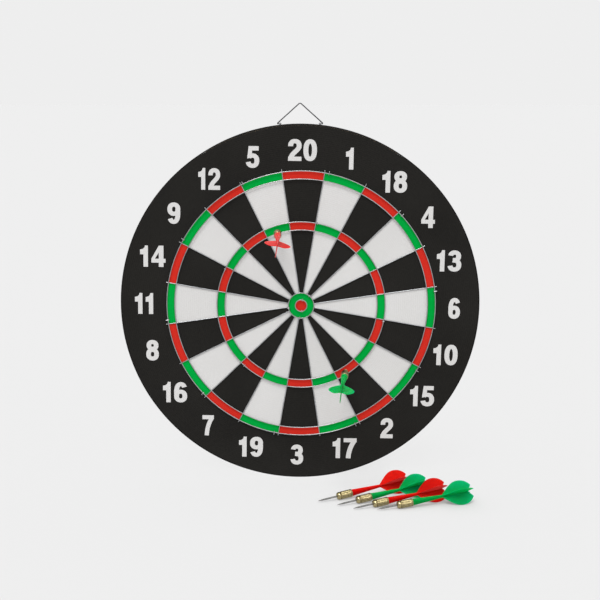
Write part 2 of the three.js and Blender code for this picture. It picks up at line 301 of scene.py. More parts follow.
class Look:
    """A procedural material: one Principled shader and short ways to feed it."""

    def __init__(self, name, **constants):
        self.material = bpy.data.materials.new(name)
        self.material.use_nodes = True
        self.tree = self.material.node_tree
        self.shader = self.tree.nodes["Principled BSDF"]
        for socket, value in constants.items():
            self.shader.inputs[socket.replace("_", " ")].default_value = value
        self.place = self.tree.nodes.new("ShaderNodeTexCoord").outputs["Object"]

    def link(self, output, target):
        self.tree.links.new(output, target)

    def feed(self, socket, output):
        self.link(output, self.shader.inputs[socket])

    def noise(self, scale, detail, roughness=0.5, stretch=(1, 1, 1)):
        mapping = self.tree.nodes.new("ShaderNodeMapping")
        mapping.inputs["Scale"].default_value = stretch
        self.link(self.place, mapping.inputs["Vector"])
        node = self.tree.nodes.new("ShaderNodeTexNoise")
        node.inputs["Scale"].default_value = scale
        node.inputs["Detail"].default_value = detail
        node.inputs["Roughness"].default_value = roughness
        self.link(mapping.outputs["Vector"], node.inputs["Vector"])
        return node.outputs["Fac"]

    def coils(self, pitch):
        """Slightly wavy rings round Y at the pitch of the wound paper."""
        node = self.tree.nodes.new("ShaderNodeTexWave")
        node.wave_type = "RINGS"
        node.rings_direction = "Y"
        node.inputs["Scale"].default_value = 2 * math.pi / (WAVE_RATE * pitch)
        node.inputs["Distortion"].default_value = 0.6
        node.inputs["Detail Scale"].default_value = 3.0
        self.link(self.place, node.inputs["Vector"])
        return node.outputs["Fac"]

    def cells(self, scale):
        node = self.tree.nodes.new("ShaderNodeTexVoronoi")
        node.inputs["Scale"].default_value = scale
        self.link(self.place, node.inputs["Vector"])
        return node.outputs["Distance"]

    def fit(self, value, low, high, start=0.3, end=0.7):
        """Stretches the part of value between start and end over low to high."""
        node = self.tree.nodes.new("ShaderNodeMapRange")
        node.inputs["From Min"].default_value = start
        node.inputs["From Max"].default_value = end
        node.inputs["To Min"].default_value = low
        node.inputs["To Max"].default_value = high
        self.link(value, node.inputs["Value"])
        return node.outputs["Result"]

    def along(self, axis):
        node = self.tree.nodes.new("ShaderNodeSeparateXYZ")
        self.link(self.place, node.inputs[0])
        return node.outputs[axis]

    def product(self, first, second):
        node = self.tree.nodes.new("ShaderNodeMath")
        node.operation = "MULTIPLY"
        self.link(first, node.inputs[0])
        self.link(second, node.inputs[1])
        return node.outputs[0]

    def mix(self, factor, first, second):
        node = self.tree.nodes.new("ShaderNodeMix")
        node.data_type = "RGBA"
        self.link(factor, node.inputs[0])
        for socket, colour in ((node.inputs[6], first), (node.inputs[7], second)):
            if isinstance(colour, tuple):
                socket.default_value = (*colour, 1)
            else:
                self.link(colour, socket)
        return node.outputs[2]

    def total(self, first, second, weight):
        """The first value plus the second times the weight."""
        node = self.tree.nodes.new("ShaderNodeMath")
        node.operation = "MULTIPLY_ADD"
        self.link(second, node.inputs[0])
        node.inputs[1].default_value = weight
        self.link(first, node.inputs[2])
        return node.outputs[0]

    def bump(self, height, distance, strength):
        node = self.tree.nodes.new("ShaderNodeBump")
        node.inputs["Distance"].default_value = distance
        node.inputs["Strength"].default_value = strength
        self.link(height, node.inputs["Height"])
        self.feed("Normal", node.outputs["Normal"])


def printed_paper(name, dark, light, roughness, specular):
    """Ink on the ends of wound paper: fine fibres, faint coils and slow shifts in tone."""
    look = Look(name, Specular_IOR_Level=specular)
    fibres = look.noise(900, detail=4, roughness=0.7)
    coils = look.coils(2.4 * MM)
    clouds = look.noise(14, detail=3)
    grain = look.total(look.total(fibres, coils, 0.12), clouds, 0.35)
    look.feed("Base Color", look.mix(look.fit(grain, 0, 1, 0.45, 1.0), dark, light))
    look.feed("Roughness", look.fit(clouds, roughness - 0.06, roughness + 0.06))
    look.bump(look.total(fibres, coils, 0.5), 0.12 * MM, 0.6)
    return look.material


def kraft_paper(name, dark, light, pitch):
    """Bare brown paper over the coil, with the windings showing through."""
    look = Look(name, Roughness=0.85, Specular_IOR_Level=0.25)
    fibres = look.noise(260, detail=6, roughness=0.65)
    clouds = look.noise(9, detail=4)
    coils = look.coils(pitch)
    tone = look.total(look.total(fibres, clouds, 0.6), coils, 0.15)
    look.feed("Base Color", look.mix(look.fit(tone, 0, 1, 0.5, 1.2), dark, light))
    look.feed("Roughness", look.fit(clouds, 0.75, 0.95))
    look.bump(look.total(fibres, coils, 1.2), 0.25 * MM, 0.7)
    return look.material


def edge_tape(name):
    """Black coated band with a fine leather-like emboss and rubbed, greyer edges."""
    look = Look(name, Specular_IOR_Level=0.03)
    emboss = look.cells(700)
    rub = look.noise(35, detail=5)
    worn = look.fit(rub, 0, 1, 0.5, 0.75)
    look.feed("Base Color", look.mix(worn, (0.010, 0.0095, 0.009), (0.022, 0.021, 0.020)))
    look.feed("Roughness", look.fit(rub, 0.42, 0.62))
    look.bump(emboss, 0.1 * MM, 0.5)
    return look.material


def bright_wire(name, colour, roughness):
    """Plated wire: metallic, with slightly uneven plating and fine draw marks."""
    look = Look(name, Metallic=1.0)
    plating = look.noise(160, detail=3)
    scratches = look.noise(2200, detail=2, roughness=0.6)
    darker = tuple(channel * 0.78 for channel in colour)
    look.feed("Base Color", look.mix(look.fit(plating, 0, 1), darker, colour))
    look.feed("Roughness", look.fit(plating, roughness, roughness + 0.14))
    look.bump(scratches, 0.004 * MM, 0.3)
    return look.material


def ground_steel(name):
    """Dart points: darker steel with grinding lines round the axis."""
    look = Look(name, Metallic=1.0)
    lines = look.noise(500, detail=2, stretch=(0.1, 6, 0.1))
    stain = look.noise(90, detail=4)
    look.feed("Base Color", look.mix(look.fit(stain, 0, 1), (0.14, 0.135, 0.13), (0.30, 0.295, 0.29)))
    look.feed("Roughness", look.fit(lines, 0.16, 0.3))
    look.bump(lines, 0.02 * MM, 0.4)
    return look.material


POLISHED_TO = 29.5 * MM  # from the tip to the end of the barrel's polished nose


def knurled_brass(name):
    """Pale brass, darker and browner in random blotches that follow no hollow of the knurl."""
    look = Look(name, Metallic=1.0)
    brown_blotches = look.noise(420, detail=4, roughness=0.6)
    tarnish = look.noise(70, detail=3)
    lines = look.noise(600, detail=2, stretch=(0.1, 5, 0.1))
    pale = look.mix(look.fit(tarnish, 0, 1), (0.29, 0.24, 0.12), (0.46, 0.39, 0.205))
    # Random blotches turn the pale brass dark brown; they are not placed in the knurl's hollows.
    look.feed("Base Color", look.mix(look.fit(brown_blotches, 0, 0.6, 0.48, 0.68), pale, (0.11, 0.075, 0.035)))
    nose = look.fit(look.along("Y"), 0.5, 1.0, POLISHED_TO, POLISHED_TO + 0.5 * MM)
    look.feed("Roughness", look.product(look.fit(tarnish, 0.25, 0.36), nose))
    look.bump(lines, 0.015 * MM, 0.4)
    return look.material


def moulded_plastic(name, deep, bright, bloom=0.0):
    """Thin translucent plastic with faint flow marks; bloom is the pale cast it shows at a low angle."""
    look = Look(
        name,
        Subsurface_Weight=1.0,
        Subsurface_Radius=(1.0, 1.0, 1.0),
        Subsurface_Scale=4.5 * MM,
        Specular_IOR_Level=0.03,
        Sheen_Weight=bloom,
        Sheen_Roughness=0.3,
    )
    flow = look.noise(60, detail=2, stretch=(1, 0.25, 1))
    orange_peel = look.noise(900, detail=2)
    look.feed("Base Color", look.mix(look.fit(flow, 0, 1), deep, bright))
    look.feed("Roughness", look.fit(flow, 0.3, 0.42))
    look.bump(orange_peel, 0.03 * MM, 0.3)
    return look.material


LOOKS = {
    "core": kraft_paper("wound paper", (0.20, 0.13, 0.07), (0.42, 0.30, 0.18), 1.1 * MM),
    "back": kraft_paper("back paper", (0.17, 0.115, 0.07), (0.36, 0.26, 0.165), 6 * MM),
    "black": printed_paper("black ink", (0.010, 0.0095, 0.009), (0.023, 0.022, 0.020), 0.85, 0.0),
    "white": printed_paper("white ink", (0.52, 0.51, 0.50), (0.64, 0.635, 0.63), 0.8, 0.01),
    "red": printed_paper("red ink", (0.47, 0.019, 0.012), (0.62, 0.030, 0.019), 0.8, 0.01),
    "green": printed_paper("green ink", (0.0002, 0.27, 0.033), (0.0010, 0.37, 0.052), 0.8, 0.01),
    "band": edge_tape("edge tape"),
    "hanger": bright_wire("hanger wire", (0.13, 0.13, 0.135), 0.3),
    "spider": bright_wire("spider wire", (0.43, 0.435, 0.445), 0.28),
    "staple": bright_wire("staple wire", (0.46, 0.46, 0.47), 0.26),
    "point": ground_steel("ground steel"),
    "brass": knurled_brass("pale brass"),
    "red_plastic": moulded_plastic("red plastic", (0.41, 0.002, 0.001), (0.50, 0.004, 0.002), bloom=0.2),
    "green_plastic": moulded_plastic("green plastic", (0.0, 0.20, 0.034), (0.0, 0.29, 0.048)),
}

# ---- Board ----

BOARD_SEGMENTS = 288
SECTOR_STEPS = 12
BULL_SEGMENTS = 96
BAND_GAP = 0.05 * MM  # between the sheets and the band round them
BAND_CORNER = 0.45 * MM
SHEET_CORNER = 0.2 * MM


def edge_band():
    inner = SHEET_RADIUS + BAND_GAP
    depth = -FACE_Y
    corner = BAND_CORNER
    section = [(inner, FACE_Y), (BAND_RADIUS - corner, FACE_Y)]
    section += [(BAND_RADIUS - 0.3 * corner, FACE_Y + 0.3 * corner), (BAND_RADIUS, FACE_Y + corner)]
    section += [(BAND_RADIUS, FACE_Y + depth * step / 6) for step in range(1, 6)]
    section += [(BAND_RADIUS, -corner), (BAND_RADIUS - 0.3 * corner, -0.3 * corner)]
    section += [(BAND_RADIUS - corner, 0), (inner, 0)]
    bm = bmesh.new()
    revolved(bm, section, BOARD_SEGMENTS)
    band = place("edge_tape_band", to_mesh("edge_tape_band", bm))
    dress(band, LOOKS["band"], "edge_band", "board", "edge_band")


def sheet_mesh(name, front, back):
    """A round sheet with softened edges, made of concentric steps so that it shades evenly."""
    profile = [(0, front), (0.3 * SHEET_RADIUS, front), (0.7 * SHEET_RADIUS, front)]
    inward = SHEET_CORNER if back > front else -SHEET_CORNER
    profile += [(SHEET_RADIUS - SHEET_CORNER, front)]
    profile += [(SHEET_RADIUS, front + inward), (SHEET_RADIUS, back), (0, back)]
    bm = bmesh.new()
    turned(bm, profile, BOARD_SEGMENTS)
    return to_mesh(name, bm)


def ring_sector(bm, inner, outer, start, end):
    """A thin plate of ink between two radii and two angles."""
    points = []
    for step in range(SECTOR_STEPS + 1):
        angle = start + (end - start) * step / SECTOR_STEPS
        points += [(on_dial(angle, radius).x, on_dial(angle, radius).z) for radius in (inner, outer)]
    faces = [(2 * i, 2 * i + 1, 2 * i + 3, 2 * i + 2) for i in range(SECTOR_STEPS)]
    slab(bm, points, faces, FACE_Y, FACE_Y - PRINT_THICKNESS)


def ink_ring(bm, inner, outer):
    front = FACE_Y - PRINT_THICKNESS
    section = ((inner, FACE_Y), (outer, FACE_Y), (outer, front), (inner, front))
    skin(bm, [[on_dial(a, radius, y) for radius, y in section] for a in turns(BULL_SEGMENTS)], wrap=True)


def ink_dot(bm, radius):
    spots = [on_dial(a, radius) for a in turns(BULL_SEGMENTS // 2)]
    outline = tuple(range(len(spots)))
    slab(bm, [(spot.x, spot.z) for spot in spots], [outline], FACE_Y, FACE_Y - PRINT_THICKNESS)


def sector_edges(index):
    return DIAL_TURN + (index - 0.5) * SECTOR, DIAL_TURN + (index + 0.5) * SECTOR


def white_print():
    bm = bmesh.new()
    for index in range(1, SECTORS, 2):
        ring_sector(bm, OUTER_BULL, TREBLE_INNER, *sector_edges(index))
        ring_sector(bm, TREBLE_OUTER, DOUBLE_INNER, *sector_edges(index))
    return to_mesh("print_white", bm)


def scoring_print(name, first):
    """Trebles and doubles of every second sector, from the sector numbered first, and part of the bull."""
    bm = bmesh.new()
    for index in range(first, SECTORS, 2):
        ring_sector(bm, TREBLE_INNER, TREBLE_OUTER, *sector_edges(index))
        ring_sector(bm, DOUBLE_INNER, DOUBLE_OUTER, *sector_edges(index))
    if name == "print_green":
        ink_ring(bm, INNER_BULL, OUTER_BULL)
    else:
        ink_dot(bm, INNER_BULL)
    return to_mesh(name, bm)


# ---- Numbers: each digit is 1 high and is drawn with a broad pen ----

DIAL = (20, 1, 18, 4, 13, 6, 10, 15, 2, 17, 3, 19, 7, 16, 8, 11, 14, 9, 12, 5)
DIGIT_HEIGHT = 27 * MM
NUMBER_RADIUS = 196.4 * MM
DIGIT_WIDTH = 0.63
PEN_ACROSS = 0.114  # half the width of an upright stroke
PEN_DOWN = 0.098  # half the width of a level stroke
MIDDLE_X = DIGIT_WIDTH / 2
SQUARENESS = 2.3  # 2 is a true ellipse


def arc(x, y, width, height, start, end, steps=28):
    """Part of a slightly squared ellipse, from one angle in degrees to another."""
    points = []
    for step in range(steps + 1):
        angle = math.radians(start + (end - start) * step / steps)
        across = math.copysign(abs(math.cos(angle)) ** (2 / SQUARENESS), math.cos(angle))
        up = math.copysign(abs(math.sin(angle)) ** (2 / SQUARENESS), math.sin(angle))
        points.append(Vector((x + width * across, y + height * up)))
    return points


def curve(*controls, steps=10):
    """A cubic Bezier curve through its first and last control."""
    a, b, c, d = (Vector(control) for control in controls)
    points = []
    for step in range(steps + 1):
        t = step / steps
        points.append(a * (1 - t) ** 3 + b * 3 * t * (1 - t) ** 2 + c * 3 * t * t * (1 - t) + d * t**3)
    return points


def pen(path):
    """The quads that the pen covers as it follows a path."""
    sides = []
    for index, point in enumerate(path):
        along = path[min(index + 1, len(path) - 1)] - path[max(index - 1, 0)]
        normal = Vector((-along.y, along.x)).normalized()
        reach_out = Vector((PEN_ACROSS**2 * normal.x, PEN_DOWN**2 * normal.y))
        reach_out /= math.hypot(PEN_ACROSS * normal.x, PEN_DOWN * normal.y)
        sides.append((point + reach_out, point - reach_out))
    return [[a, b, d, c] for (a, b), (c, d) in zip(sides, sides[1:])]


def block(*corners):
    return [[Vector(corner) for corner in corners]]


def six():
    return pen(arc(MIDDLE_X, 0.315, 0.197, 0.215, 0, 360, 40)) + pen(arc(0.325, 0.5, 0.207, 0.4, 205, 36))


def upside_down(shapes):
    return [[Vector((DIGIT_WIDTH - point.x, 1 - point.y)) for point in shape] for shape in shapes]


DIGITS = {
    "0": pen(arc(MIDDLE_X, 0.5, 0.197, 0.4, 0, 360, 48)),
    "1": block(
        (0.155, 0),
        (0.365, 0),
        (0.365, 1),
        (0.23, 1),
        (0.2, 0.9),
        (0.12, 0.835),
        (0, 0.81),
        (0, 0.585),
        (0.155, 0.585),
    ),
    "2": pen(arc(0.312, 0.695, 0.195, 0.205, 186, -28))
    + pen(curve((0.485, 0.6), (0.43, 0.45), (0.17, 0.36), (0.125, 0.1)))
    + block((0, 0), (0.62, 0), (0.62, 0.195), (0.01, 0.195)),
    "3": pen(arc(0.3, 0.722, 0.185, 0.178, 172, -90) + [Vector((0.22, 0.544))])
    + pen([Vector((0.22, 0.532))] + arc(0.305, 0.31, 0.205, 0.21, 90, -172)),
    "4": block((0.345, 0), (0.565, 0), (0.565, 1), (0.345, 1))
    + block((0, 0.2), (0.66, 0.2), (0.66, 0.385), (0, 0.385))
    + block((0, 0.38), (0.165, 0.38), (0.38, 0.74), (0.38, 1), (0.345, 1)),
    "5": block((0.11, 0.8), (0.59, 0.8), (0.59, 1), (0.11, 1))
    + block((0.045, 0.43), (0.25, 0.47), (0.29, 0.9), (0.11, 1))
    + pen(arc(0.3, 0.335, 0.21, 0.235, 142, -168)),
    "6": six(),
    "7": block((0, 0.8), (0.62, 0.8), (0.62, 1), (0, 1))
    + pen(curve((0.505, 0.86), (0.33, 0.6), (0.245, 0.3), (0.235, 0))),
    "8": pen(arc(MIDDLE_X, 0.737, 0.177, 0.163, 0, 360, 40))
    + pen(arc(MIDDLE_X, 0.31, 0.197, 0.21, 0, 360, 40)),
    "9": upside_down(six()),
}
WIDTHS = {"1": 0.365}

NUMBERS_DROP = 0.75 * MM  # the numbers sit a little lower than the dial's middle
SLIM_NUMBERS = (6, 7, 12)
SLIM = 0.88
SLIGHTLY_SLIM = 0.96
LONE_DIGIT_SHIFT = 0.8 * MM  # to the left, as are the two below
OTHER_SHIFTS = {1: 2.0 * MM, 11: 1.5 * MM}


def slimness(number):
    """How wide a number is printed: lone digits and a few others are narrower."""
    if number in SLIM_NUMBERS:
        return SLIM
    return SLIGHTLY_SLIM if number < 10 or number == 11 else 1.0


def gap(left, right):
    """The space between two digits, wider beside a 1."""
    return 0.16 if "1" in (left, right) else 0.07


def covers(shape, spot):
    """Whether a flat shape holds a spot.

    It does if a line from the spot to the right crosses the outline an odd number of times.
    """
    inside = False
    for a, b in zip(shape, shape[1:] + shape[:1]):
        if (a.y > spot.y) != (b.y > spot.y) and spot.x < a.x + (b.x - a.x) * (spot.y - a.y) / (b.y - a.y):
            inside = not inside
    return inside


def filled(shapes):
    """Merges overlapping flat shapes into one region: its points and its triangles."""
    points = [point for shape in shapes for point in shape]
    edges = []
    for shape in shapes:
        first = len(edges)
        edges += [(first + index, first + (index + 1) % len(shape)) for index in range(len(shape))]
    points, _, triangles, *_ = delaunay_2d_cdt(points, edges, [], 0, 1e-5)
    kept = []
    for triangle in triangles:
        centre = sum((points[index] for index in triangle), Vector((0, 0))) / 3
        if any(covers(shape, centre) for shape in shapes):
            kept.append(tuple(triangle))
    return points, kept


def numbers_print():
    regions = {digit: filled(shapes) for digit, shapes in DIGITS.items()}
    bm = bmesh.new()
    for index, number in enumerate(DIAL):
        digits = str(number)
        widths = [WIDTHS.get(digit, DIGIT_WIDTH) for digit in digits]
        gaps = [gap(*pair) for pair in zip(digits, digits[1:])] + [0]
        centre = on_face(index * SECTOR, NUMBER_RADIUS)
        shift = OTHER_SHIFTS.get(number, LONE_DIGIT_SHIFT if number < 10 else 0)
        slim = slimness(number)
        left = -(sum(widths) + sum(gaps)) / 2
        for digit, width, space in zip(digits, widths, gaps):
            points, triangles = regions[digit]
            spots = []
            for point in points:
                x = centre.x - shift + (left + point.x) * slim * DIGIT_HEIGHT
                spots.append((x, centre.z + (point.y - 0.5) * DIGIT_HEIGHT))
            slab(bm, spots, triangles, FACE_Y, FACE_Y - PRINT_THICKNESS)
            left += width + space
    bmesh.ops.rotate(bm, verts=bm.verts, matrix=Matrix.Rotation(DIAL_TURN, 3, "Y"))
    bmesh.ops.translate(bm, verts=bm.verts, vec=(0, 0, -NUMBERS_DROP))
    return to_mesh("print_numbers", bm)


# ---- Spider, staples and hanger ----

WIRE_SWAY = 0.12 * MM  # how far a radial wire strays from straight
WELD_SPREAD = 1.15  # a weld bead's width beside its depth


def ring_wires():
    for node, radius in RINGS.items():
        bm = bmesh.new()
        path = [on_dial(angle, radius, RING_Y) for angle in turns(240 if radius > 50 * MM else 96)]
        wire(bm, path, Vector((0, 1, 0)), WIRE_RADIUS, sides=14, closed=True)
        name = f"{node}_wire"
        dress(place(name, to_mesh(name, bm)), LOOKS["spider"], "spider_wire", "board", node)


def radial_wires():
    for index in range(SECTORS):
        node = f"radial_wire_{index + 1:02d}"
        start, end = reach(node)
        angle = DIAL_TURN + (index + 0.5) * SECTOR
        path = []
        for step in range(9):
            sway = WIRE_SWAY * random.uniform(-1, 1) if 0 < step < 8 else 0
            point = on_dial(angle, start + (end - start) * step / 8, RADIAL_Y)
            path.append(point + on_face(angle + math.pi / 2, sway))
        points, radii = with_round_ends(path, WIRE_RADIUS)
        bm = bmesh.new()
        wire(bm, points, Vector((0, 1, 0)), radii, sides=14)
        name = f"{node}_rod"
        dress(place(name, to_mesh(name, bm)), LOOKS["spider"], "spider_wire", "board", node)


def welds():
    """A small squeezed bead wherever a radial wire is welded to a ring."""
    bm = bmesh.new()
    for node, radius in RINGS.items():
        if node == "inner_bull_ring":
            continue
        for index in range(SECTORS):
            angle = DIAL_TURN + (index + 0.5) * SECTOR
            size = WIRE_RADIUS * random.uniform(0.85, 1.15)
            spot = on_dial(angle, radius, (RING_Y + RADIAL_Y) / 2)
            stretch = Matrix.Diagonal((WELD_SPREAD, 1.0, WELD_SPREAD, 1))
            matrix = Matrix.Translation(spot) @ Matrix.Rotation(angle, 4, "Y") @ stretch
            bmesh.ops.create_icosphere(bm, subdivisions=2, radius=size, matrix=matrix)
    dress(place("spider_welds", to_mesh("spider_welds", bm)), LOOKS["spider"], "spider_wire", "board")


STAPLE_RADIUS = 0.5 * MM
STAPLE_LEG = 6 * MM
STAPLE_BEND = 0.9 * MM
STAPLE_SPAN = 4.4 * MM  # between the middles of the two legs
SMALL_SPAN = 2.6 * MM
TENTH_STAPLE = 334.8  # degrees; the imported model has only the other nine


def staple_mesh(name, radius, angle, span):
    """A wire staple that straddles a ring: a crown across it and two legs into the board."""
    crown = RING_Y - WIRE_RADIUS - STAPLE_RADIUS
    inner = radius - span / 2
    outer = radius + span / 2
    corners = [
        on_dial(angle, inner, FACE_Y + STAPLE_LEG),
        on_dial(angle, inner, crown),
        on_dial(angle, outer, crown),
        on_dial(angle, outer, FACE_Y + STAPLE_LEG),
    ]
    path = rounded_path(corners, STAPLE_BEND)
    bm = bmesh.new()
    wire(bm, path, on_face(angle + math.pi / 2, 1), STAPLE_RADIUS, sides=10)
    return to_mesh(name, bm)


def ring_staples():
    """The staples that have nodes, and a tenth as far out as the last of them."""
    nodes = sorted(node for node in frame["nodes"] if node.startswith("ring_staple_"))
    for node in nodes:
        angle, radius = from_dial(middle(node))
        name = f"{node}_clip"
        mesh = staple_mesh(name, radius, angle, STAPLE_SPAN)
        dress(place(name, mesh), LOOKS["staple"], "staple_steel", "board", node)
    mesh = staple_mesh("ring_staple_10_clip", radius, math.radians(TENTH_STAPLE), STAPLE_SPAN)
    dress(place("ring_staple_10_clip", mesh), LOOKS["staple"], "staple_steel", "board")


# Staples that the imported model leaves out: the ring they cross, and their angle in degrees.
SMALL_STAPLES = (
    (TREBLE_OUTER, 11),
    (TREBLE_OUTER, 101),
    (TREBLE_OUTER, 223),
    (TREBLE_OUTER, 296),
    (INNER_BULL, 14),
    (INNER_BULL, 172),
    (OUTER_BULL, 187),
    (OUTER_BULL, 259),
    (OUTER_BULL, 40),
)


def small_staples():
    for index, (radius, degrees) in enumerate(SMALL_STAPLES):
        name = f"small_staple_{index + 1}"
        mesh = staple_mesh(name, radius, math.radians(degrees), SMALL_SPAN)
        dress(place(name, mesh), LOOKS["staple"], "staple_steel", "board")


HANGER_RADIUS = 0.75 * MM
HANGER_HALF_WIDTH = 29 * MM
HANGER_TOP = 25.9 * MM  # pivot to the sharp top of the triangle
HANGER_FOOT = 5.8 * MM
HANGER_BEND = 2.2 * MM
EYELET_RADIUS = 0.6 * MM
EYELET_RING = 1.7 * MM
EYELET_START = -78  # degrees round the loop
EYELET_TURN = 336
EYELET_NECK = 0.9 * MM


def hanger():
    hinge = next(joint for joint in frame["joints"] if joint["name"] == "hanger_fold")
    pivot = Vector(hinge["pos_m"])
    half = HANGER_HALF_WIDTH
    outline = [(HANGER_FOOT - half, 0), (-half, 0), (0, HANGER_TOP), (half, 0), (half - HANGER_FOOT, 0)]
    corners = [pivot + Vector((x, 0, z)) for x, z in outline]
    path, radii = with_round_ends(rounded_path(corners, HANGER_BEND, steps=12), HANGER_RADIUS)
    bm = bmesh.new()
    wire(bm, path, Vector((0, 1, 0)), radii, sides=14)
    triangle = place("hanger_triangle", to_mesh("hanger_triangle", bm))
    dress(triangle, LOOKS["hanger"], "hanger_steel", "hanger", "hanger_wire")
    for side in ("left", "right"):
        eyelet(f"hanger_eyelet_{side}", pivot)


def eyelet(node, pivot):
    """A screw eye: an almost closed loop whose end runs down into the edge of the board."""
    centre = Vector((middle(node).x, pivot.y, pivot.z))
    path = []
    for step in range(30):
        angle = math.radians(EYELET_START + EYELET_TURN * step / 30)
        path.append(centre + EYELET_RING * Vector((0, math.cos(angle), math.sin(angle))))
    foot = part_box(node)[0].z
    neck = centre - Vector((0, 0, EYELET_RING))
    path += [neck - Vector((0, 0, EYELET_NECK)), Vector((centre.x, centre.y, foot))]
    points, radii = with_round_ends(path, EYELET_RADIUS)
    bm = bmesh.new()
    wire(bm, points, Vector((1, 0, 0)), radii, sides=12)
    name = f"{node}_screw"
    dress(place(name, to_mesh(name, bm)), LOOKS["staple"], "hanger_steel", "board", node)


# ---- Darts: in a dart's own frame Y runs from the tip to the tail and X along one fin ----


def distinct(node):
    corners = {tuple(round(value, 6) for value in vertex.co) for vertex in frame["nodes"][node].data.vertices}
    return [Vector(corner) for corner in sorted(corners)]


def average(points):
    return sum(points, Vector()) / len(points)


class Dart:
    """Where a dart lies and how long its pieces are, read from its nodes."""

    def __init__(self, name):
        point, barrel, flight = (distinct(f"{name}_{piece}") for piece in ("point", "barrel", "flight"))
        self.name = name
        self.axis = (average(barrel) - average(point)).normalized()
        self.tip = average(point)
        self.tip += self.axis * min((corner - self.tip).dot(self.axis) for corner in point)
        self.seat = max(self.along(corner) for corner in point)
        self.front = min(self.along(corner) for corner in barrel)
        self.rear = max(self.along(corner) for corner in barrel)
        self.girth = max(self.aside(corner).length for corner in barrel)
        self.tail = max(self.along(corner) for corner in flight)
        span = max(self.aside(corner).length for corner in flight)
        widest = [self.aside(corner) for corner in flight if self.aside(corner).length > span - 0.01 * MM]
        near_first = [arm for arm in widest if arm.angle(widest[0]) < math.radians(10)]
        fin = average(near_first).normalized()
        self.half_span = average(near_first).length
        self.matrix = Matrix((fin, self.axis, fin.cross(self.axis))).transposed().to_4x4()
        self.matrix.translation = self.tip

    def along(self, corner):
        return (corner - self.tip).dot(self.axis)

    def aside(self, corner):
        offset = corner - self.tip
        return offset - self.axis * offset.dot(self.axis)


POINT_RADIUS = 1.1 * MM
NOSE_FLAT = 2.0 * MM
NOSE_LENGTH = 3.4 * MM
KNURL_DEPTH = 0.12 * MM
KNURL_COLUMNS = 64
KNURL_ROWS = 30
GROOVE_DEPTH = 0.8 * MM
COLLAR_DEPTH = 0.3 * MM  # of the groove before the barrel's plain collar
STUD_RADIUS = 2.0 * MM
STUD_LENGTH = 7 * MM
SHAFT_RADIUS = 4.1 * MM
NECK_RADIUS = 1.7 * MM
SHAFT_COLLAR = 1.2 * MM  # the plain start of the shaft, before its ribs
FLUTE_DEPTH = 0.11  # of the hollows between the ribs, as a share of the shaft's radius
NECK_FLUTE = 0.05  # the same at the neck
FLUTED_SHARE = 0.87  # how much of the taper has the deeper hollows
FIN_LENGTH = 40 * MM
FIN_WIDEST = 24 * MM
FIN_NOTCH = 5.5 * MM
FIN_OVERLAP = 3 * MM
FIN_ROOT = 0.42 * MM  # half its thickness at the axis
FIN_THINNING = 0.16 * MM  # what it has lost of that at its edge
TAIL_WIDTH = 0.46  # half width of the fins at the tail, as a share of their half span


def point_mesh(dart):
    """A ground needle with a slight shoulder where the taper ends."""
    profile = [(0, 0), (0.07, 0.05), (0.16, 0.35), (0.45, 2.2), (0.78, 5), (1.0, 7.8), (1.08, 9.2), (1.1, 11)]
    profile = [(radius * MM, height * MM) for radius, height in profile]
    profile += [(POINT_RADIUS, dart.front), (POINT_RADIUS, dart.seat), (0, dart.seat)]
    bm = bmesh.new()
    turned(bm, profile, 24)
    return to_mesh("dart_point", bm)


def barrel_mesh(dart):
    """A turned barrel: round nose, a cut groove, a diamond knurl and a plain collar."""
    bore = POINT_RADIUS + 0.03 * MM
    stud_bore = STUD_RADIUS + 0.1 * MM
    front, rear, girth = dart.front, dart.rear, dart.girth
    profile = [(0, dart.seat + 0.2 * MM), (bore, dart.seat + 0.2 * MM), (bore, front + 0.2 * MM)]
    profile.append((NOSE_FLAT, front))
    for step in range(1, 8):
        turn = math.radians(90 * step / 7)
        radius = NOSE_FLAT + (girth - NOSE_FLAT) * math.sin(turn)
        profile.append((radius, front + NOSE_LENGTH * (1 - math.cos(turn))))
    groove = front + NOSE_LENGTH + 0.5 * MM
    profile += [(girth - 0.25 * MM, groove), (girth - GROOVE_DEPTH, groove + 0.3 * MM)]
    profile += [(girth - GROOVE_DEPTH, groove + 0.8 * MM), (girth, groove + 1.1 * MM)]
    knurl_start = groove + 1.3 * MM
    knurl_end = rear - 2.6 * MM
    first_row = len(profile) - 1
    for row in range(KNURL_ROWS):
        profile.append((girth, knurl_start + (knurl_end - knurl_start) * row / (KNURL_ROWS - 1)))
    profile += [(girth, knurl_end + 0.25 * MM), (girth - COLLAR_DEPTH, knurl_end + 0.4 * MM)]
    profile += [(girth - COLLAR_DEPTH, knurl_end + 0.8 * MM), (girth, knurl_end + 0.95 * MM)]
    profile += [(girth, rear - 0.6 * MM), (girth - 0.15 * MM, rear - 0.2 * MM), (girth - 0.5 * MM, rear)]
    profile += [(stud_bore, rear), (stud_bore, rear - STUD_LENGTH), (0, rear - STUD_LENGTH)]

    def relief(row, column):
        knurled = first_row <= row < first_row + KNURL_ROWS
        return KNURL_DEPTH if knurled and (row + column) % 2 else 0

    bm = bmesh.new()
    turned(bm, profile, KNURL_COLUMNS, relief)
    return to_mesh("dart_barrel", bm, sharp=18)


